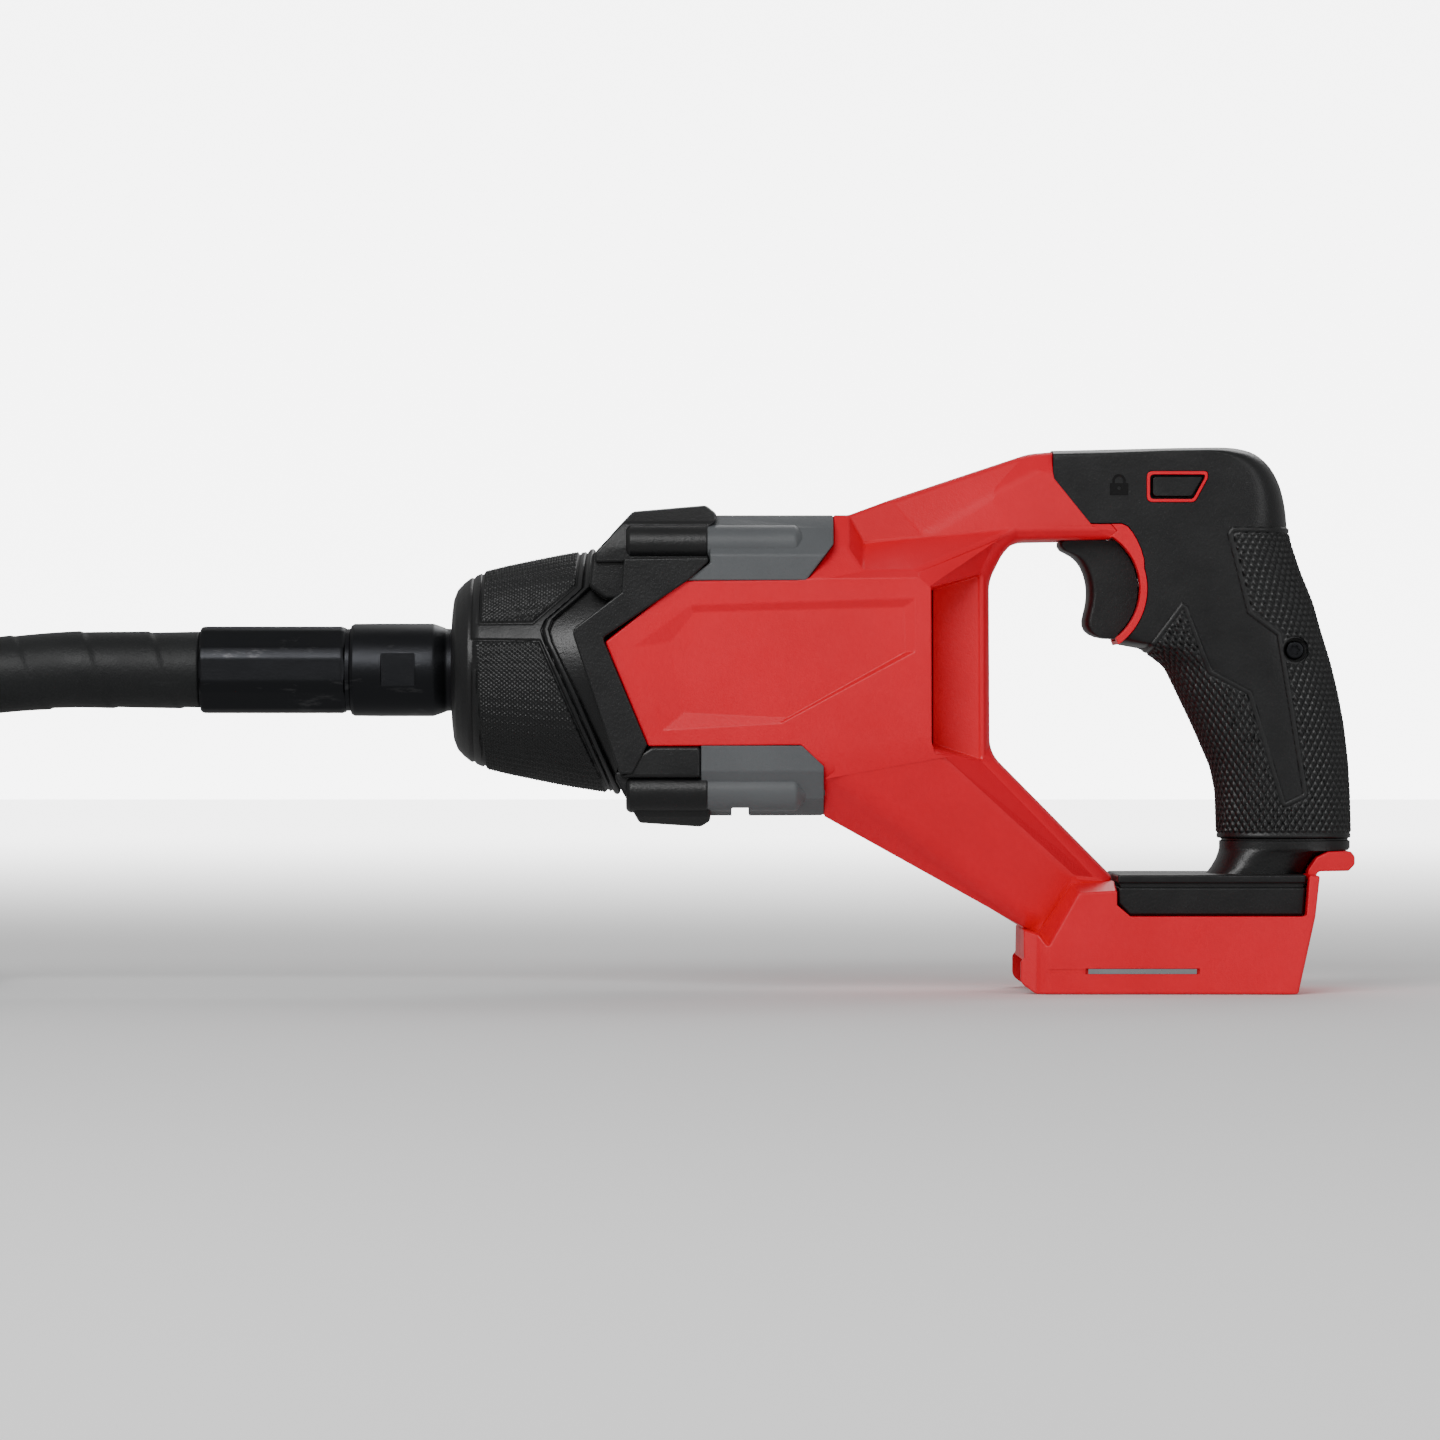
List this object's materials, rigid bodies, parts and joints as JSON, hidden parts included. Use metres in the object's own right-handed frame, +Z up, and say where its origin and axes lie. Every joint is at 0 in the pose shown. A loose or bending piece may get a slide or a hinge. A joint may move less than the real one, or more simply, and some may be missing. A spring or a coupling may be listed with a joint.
{
  "type": "concrete vibrator",
  "caption": "Battery concrete vibrator: D-handled motor unit driving a steel vibrating head through a flexible shaft in a thick rubber hose.",
  "frame": {"origin": "middle of the battery foot's flat underside, on the surface that the tool stands on", "axes": "+Z up, -X out of the nose along the drive shaft, +Y to the tool's right"},
  "size_m": [0.873, 0.4186, 0.2178],
  "materials": {
    "red_plastic": "fine moulded grain",
    "black_plastic": "fine moulded grain",
    "grey_plastic": "fine moulded grain",
    "grip_rubber": "raised diamond texture",
    "hose_rubber": "spiral wrap, satin",
    "black_steel": "black oxide, worn at the edges",
    "steel": "turned",
    "lamination_steel": "stacked sheet",
    "aluminium": "as cast",
    "copper": "enamelled wire",
    "brass": "plain",
    "circuit_board": "potted board"
  },
  "bodies": {
    "tool": {"left_housing": "red_plastic", "right_housing": "red_plastic", "left_frame": "red_plastic", "right_frame": "red_plastic", "left_battery_base": "red_plastic", "right_battery_base": "red_plastic", "trigger_bezel": "red_plastic", "left_lock_bezel": "red_plastic", "right_lock_bezel": "red_plastic", "left_handle": "black_plastic", "right_handle": "black_plastic", "front_housing": "black_plastic", "trigger_switch": "black_plastic", "battery_rail": "black_plastic", "top_guard": "grey_plastic", "bottom_guard": "grey_plastic", "left_grip": "grip_rubber", "right_grip": "grip_rubber", "nose_boot": "grip_rubber", "oil_seal": "grip_rubber", "hose": "hose_rubber", "housing_screw_1": "black_steel", "housing_screw_2": "black_steel", "housing_screw_3": "black_steel", "housing_screw_4": "black_steel", "handle_screw": "black_steel", "nose_screw_1": "black_steel", "nose_screw_2": "black_steel", "nose_screw_3": "black_steel", "nose_screw_4": "black_steel", "hose_coupling": "black_steel", "head_ferrule": "black_steel", "left_foot_strip": "steel", "right_foot_strip": "steel", "spindle_bearing": "steel", "front_bearing": "steel", "rear_bearing": "steel", "trigger_spring": "steel", "head_tube": "steel", "head_tip": "steel", "head_rear_bearing": "steel", "head_front_bearing": "steel", "stator": "lamination_steel", "nose_casting": "aluminium", "front_winding": "copper", "rear_winding": "copper", "battery_contact_1": "brass", "battery_contact_2": "brass", "battery_contact_3": "brass", "controller": "circuit_board"},
    "trigger": {"trigger": "black_plastic"},
    "lock_button": {"lock_button": "black_plastic"},
    "motor_rotor": {"rotor": "lamination_steel", "motor_shaft": "steel", "spindle": "steel", "fan": "black_plastic", "core_drive_end": "steel"},
    "head_rotor": {"eccentric_weight": "steel", "core_head_end": "steel"}
  },
  "joints": [
    {"name": "trigger_pull", "type": "slide", "parent": "tool", "child": "trigger", "axis": [1, 0, 0], "range_m": [0, 0.006], "stiffness_N_per_m": 900, "springref_m": -0.003, "deforming": ["trigger_spring"]},
    {"name": "lock_slide", "type": "slide", "parent": "tool", "child": "lock_button", "axis": [0, 1, 0], "range_m": [-0.0025, 0.0025]},
    {"name": "motor_spin", "type": "hinge", "parent": "tool", "child": "motor_rotor", "pos_m": [-0.17, 0, 0.129], "axis": [1, 0, 0], "continuous": true},
    {"name": "head_spin", "type": "hinge", "parent": "tool", "child": "head_rotor", "pos_m": [-0.504, -0.03, 0.016], "axis": [0, 1, 0], "continuous": true}
  ],
  "couplings": [
    {"joint": "head_spin", "follows": "motor_spin", "ratio": -1}
  ]
}
